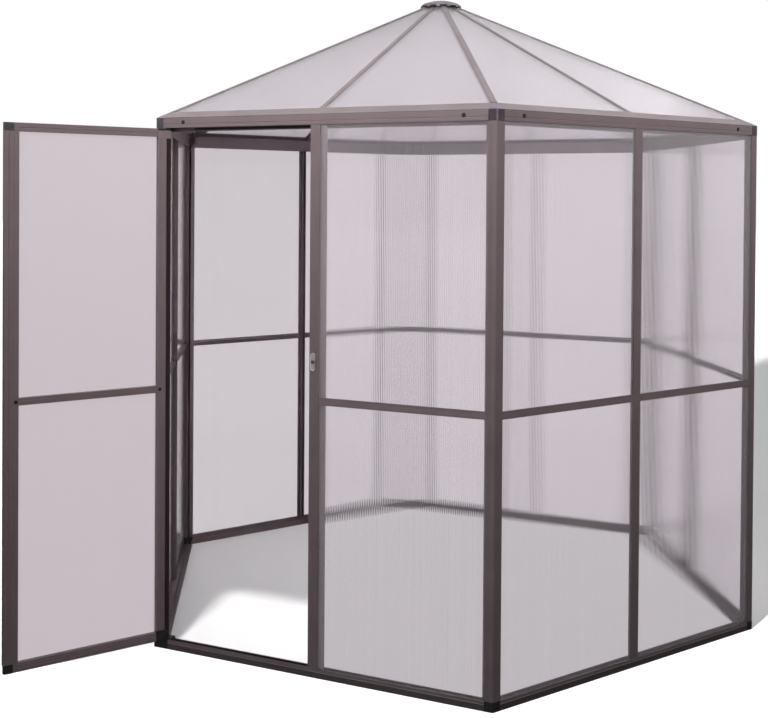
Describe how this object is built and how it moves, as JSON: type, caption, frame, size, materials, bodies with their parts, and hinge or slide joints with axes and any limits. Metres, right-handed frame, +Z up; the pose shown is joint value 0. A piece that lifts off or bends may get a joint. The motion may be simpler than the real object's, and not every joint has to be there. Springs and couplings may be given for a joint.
{
  "type": "hexagonal garden greenhouse",
  "caption": "Six-sided walk-in greenhouse: dark powder-coated aluminium frame, twin-wall sheets, pyramid roof and a swing door held by a turn latch.",
  "frame": {"origin": "middle of the underside of the door wall's base rail, on the ground", "axes": "+Z up; -Y out through the doorway; +X to the right as seen by someone who faces the door wall from outside"},
  "size_m": [2.4354, 2.582, 2.32],
  "materials": {
    "frame_aluminium": "satin powder coat, taupe brown",
    "twin_wall_sheet": "translucent twin-wall polycarbonate with fine upright flutes",
    "black_plastic": "moulded, dark grey to black",
    "bright_steel": "bright zinc-plated steel"
  },
  "bodies": {
    "frame": {"base_rail_1": "frame_aluminium", "base_rail_2": "frame_aluminium", "base_rail_3": "frame_aluminium", "base_rail_4": "frame_aluminium", "base_rail_5": "frame_aluminium", "base_rail_6": "frame_aluminium", "corner_post_1": "frame_aluminium", "corner_post_2": "frame_aluminium", "corner_post_3": "frame_aluminium", "corner_post_4": "frame_aluminium", "corner_post_5": "frame_aluminium", "corner_post_6": "frame_aluminium", "mullion_1": "frame_aluminium", "mullion_2": "frame_aluminium", "mullion_3": "frame_aluminium", "mullion_4": "frame_aluminium", "mullion_5": "frame_aluminium", "mullion_6": "frame_aluminium", "eave_rail_1": "frame_aluminium", "eave_rail_2": "frame_aluminium", "eave_rail_3": "frame_aluminium", "eave_rail_4": "frame_aluminium", "eave_rail_5": "frame_aluminium", "eave_rail_6": "frame_aluminium", "wall_panes_1": "twin_wall_sheet", "wall_panes_2": "twin_wall_sheet", "wall_panes_3": "twin_wall_sheet", "wall_panes_4": "twin_wall_sheet", "wall_panes_5": "twin_wall_sheet", "wall_panes_6": "twin_wall_sheet", "hip_rafter_1": "frame_aluminium", "hip_rafter_2": "frame_aluminium", "hip_rafter_3": "frame_aluminium", "hip_rafter_4": "frame_aluminium", "hip_rafter_5": "frame_aluminium", "hip_rafter_6": "frame_aluminium", "mid_rafter_1": "frame_aluminium", "mid_rafter_2": "frame_aluminium", "mid_rafter_3": "frame_aluminium", "mid_rafter_4": "frame_aluminium", "mid_rafter_5": "frame_aluminium", "mid_rafter_6": "frame_aluminium", "roof_panes_1": "twin_wall_sheet", "roof_panes_2": "twin_wall_sheet", "roof_panes_3": "twin_wall_sheet", "roof_panes_4": "twin_wall_sheet", "roof_panes_5": "twin_wall_sheet", "roof_panes_6": "twin_wall_sheet", "roof_crown": "black_plastic", "latch_pivot": "bright_steel"},
    "door": {"door_hinge_stile": "frame_aluminium", "door_latch_stile": "frame_aluminium", "door_top_rail": "frame_aluminium", "door_mid_rail": "frame_aluminium", "door_bottom_rail": "frame_aluminium", "door_upper_pane": "twin_wall_sheet", "door_lower_pane": "twin_wall_sheet", "door_top_pivot": "black_plastic", "door_bottom_pivot": "black_plastic"},
    "latch": {"turn_latch": "bright_steel"}
  },
  "joints": [
    {"name": "door_hinge", "type": "hinge", "parent": "frame", "child": "door", "pos_m": [-0.5686, -0.017, 0.0335], "axis": [0, 0, 1], "range_deg": [-3, 121]},
    {"name": "latch_turn", "type": "hinge", "parent": "frame", "child": "latch", "pos_m": [-0.003, -0.0253, 1.01], "axis": [0, 1, 0], "range_deg": [0, 90]}
  ]
}
